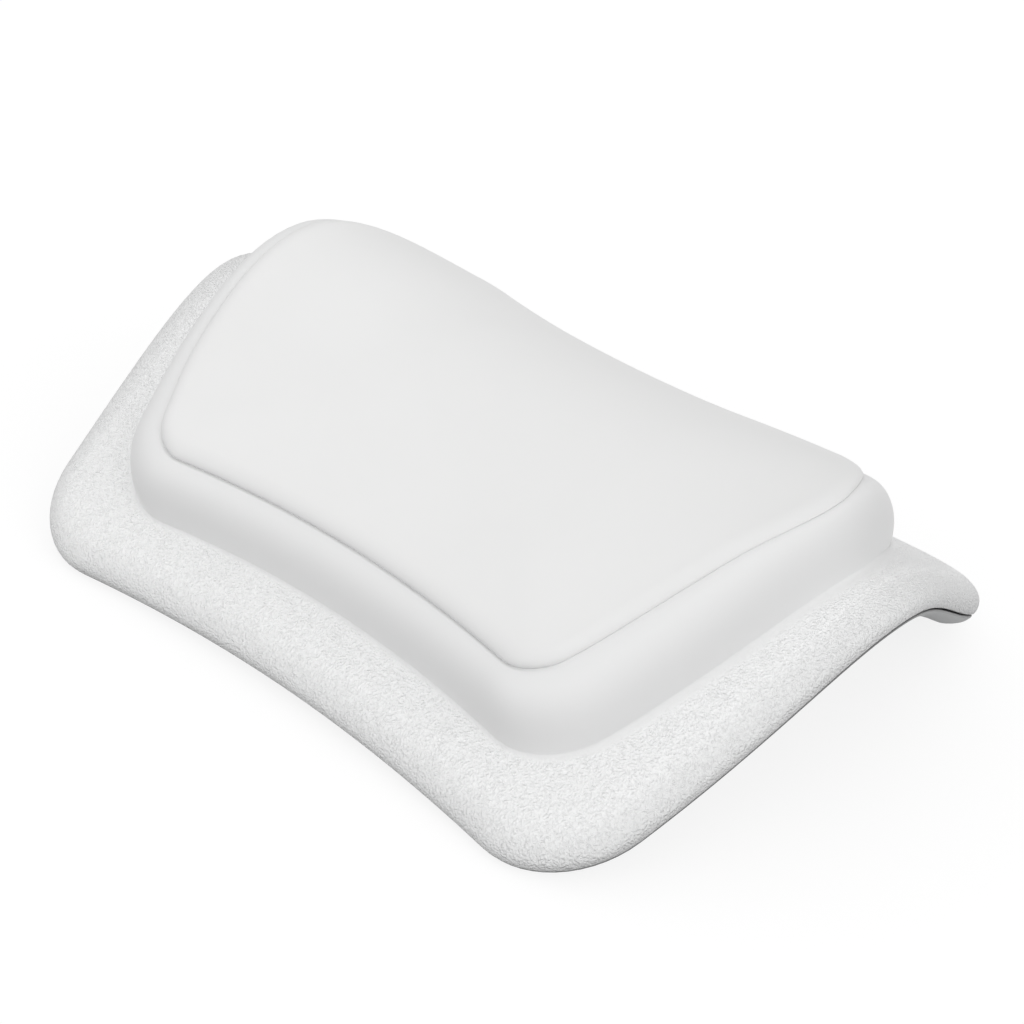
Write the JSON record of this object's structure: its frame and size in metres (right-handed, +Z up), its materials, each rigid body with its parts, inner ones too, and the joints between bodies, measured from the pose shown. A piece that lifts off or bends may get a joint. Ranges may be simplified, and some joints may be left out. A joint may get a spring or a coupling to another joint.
{
  "type": "bath pillow",
  "caption": "White moulded foam bath pillow: a grained, arched flange, a smooth bolster and a crowned head pad, with suction cups on the hidden side.",
  "frame": {"origin": "bottom centre of the pillow standing on its rim", "axes": "+X along the pillow, +Y across it, away from the bather, +Z up"},
  "size_m": [0.3398, 0.2642, 0.1045],
  "materials": {
    "grained_skin": "matte, fine leather grain",
    "smooth_skin": "satin",
    "foam": "open-cell foam",
    "socket_plastic": "satin",
    "clear_vinyl": "clear, glossy"
  },
  "bodies": {
    "pillow": {"flange_core": "foam", "flange_skin": "grained_skin", "back_skin": "smooth_skin", "bolster_core": "foam", "bolster_skin": "smooth_skin", "pad_core": "foam", "pad_skin": "smooth_skin", "cup_socket_1": "socket_plastic", "cup_socket_2": "socket_plastic", "cup_socket_3": "socket_plastic", "cup_socket_4": "socket_plastic"},
    "cup_1": {"suction_cup_1": "clear_vinyl"},
    "cup_2": {"suction_cup_2": "clear_vinyl"},
    "cup_3": {"suction_cup_3": "clear_vinyl"},
    "cup_4": {"suction_cup_4": "clear_vinyl"}
  },
  "joints": [
    {"name": "cup_1_swivel", "type": "hinge", "parent": "pillow", "child": "cup_1", "pos_m": [0.08951, 0.06279, 0.03227], "axis": [0.0361, -0.4405, -0.897], "continuous": true},
    {"name": "cup_2_swivel", "type": "hinge", "parent": "pillow", "child": "cup_2", "pos_m": [-0.08951, 0.06279, 0.03227], "axis": [-0.0361, -0.4405, -0.897], "continuous": true},
    {"name": "cup_3_swivel", "type": "hinge", "parent": "pillow", "child": "cup_3", "pos_m": [-0.08951, -0.06279, 0.03227], "axis": [-0.0361, 0.4405, -0.897], "continuous": true},
    {"name": "cup_4_swivel", "type": "hinge", "parent": "pillow", "child": "cup_4", "pos_m": [0.08951, -0.06279, 0.03227], "axis": [0.0361, 0.4405, -0.897], "continuous": true}
  ]
}
